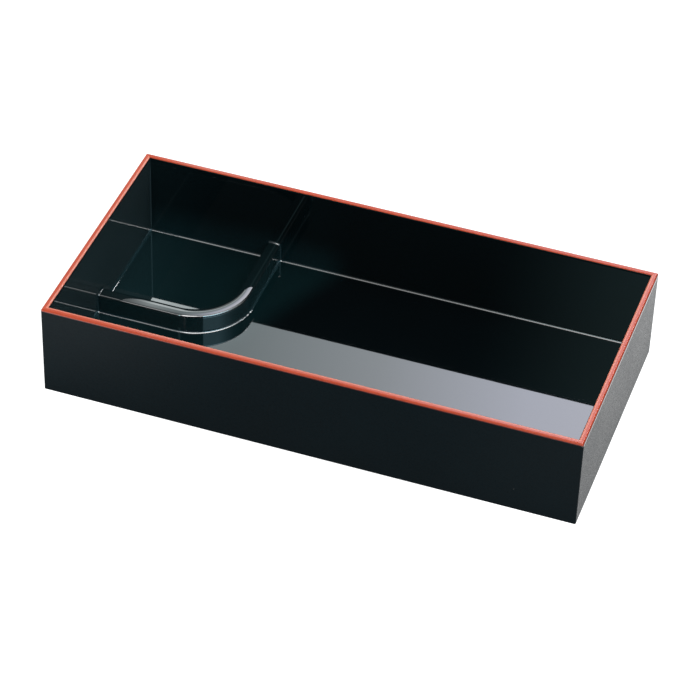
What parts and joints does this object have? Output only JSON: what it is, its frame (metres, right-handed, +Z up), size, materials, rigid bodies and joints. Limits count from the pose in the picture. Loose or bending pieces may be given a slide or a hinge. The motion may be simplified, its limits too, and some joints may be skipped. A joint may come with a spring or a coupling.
{
  "type": "bento lunch box",
  "caption": "Long open bento box of black lacquered boards with a vermilion rim and a low curved partition that sets off a square dish compartment in one corner.",
  "frame": {"origin": "centre of the footprint, on the surface that the box stands on", "axes": "+X along the length to the right, away from the end with the dish compartment; +Y from front to back, towards the side with the dish compartment; +Z up"},
  "size_m": [0.27, 0.1344, 0.0505],
  "materials": {
    "black_lacquer": "black lacquer on wooden boards: satin outside, mirror gloss inside",
    "vermilion_lacquer": "vermilion lacquer on a wooden strip, semi-gloss",
    "bare_wood": "planed, hidden in the mitres",
    "lacquer_filler": "lacquer and wood-powder filler, black, mirror gloss"
  },
  "bodies": {
    "root": {"front_board": "black_lacquer", "back_board": "black_lacquer", "left_board": "black_lacquer", "right_board": "black_lacquer", "bottom_board": "black_lacquer", "partition_front": "black_lacquer", "partition_corner": "black_lacquer", "partition_side": "black_lacquer", "rim_front": "vermilion_lacquer", "rim_back": "vermilion_lacquer", "rim_left": "vermilion_lacquer", "rim_right": "vermilion_lacquer", "spline_front_left": "bare_wood", "spline_front_right": "bare_wood", "spline_back_left": "bare_wood", "spline_back_right": "bare_wood", "cove_main": "lacquer_filler", "cove_dish": "lacquer_filler", "cove_front_left": "lacquer_filler", "cove_front_right": "lacquer_filler", "cove_back_left": "lacquer_filler", "cove_back_right": "lacquer_filler"}
  },
  "joints": []
}
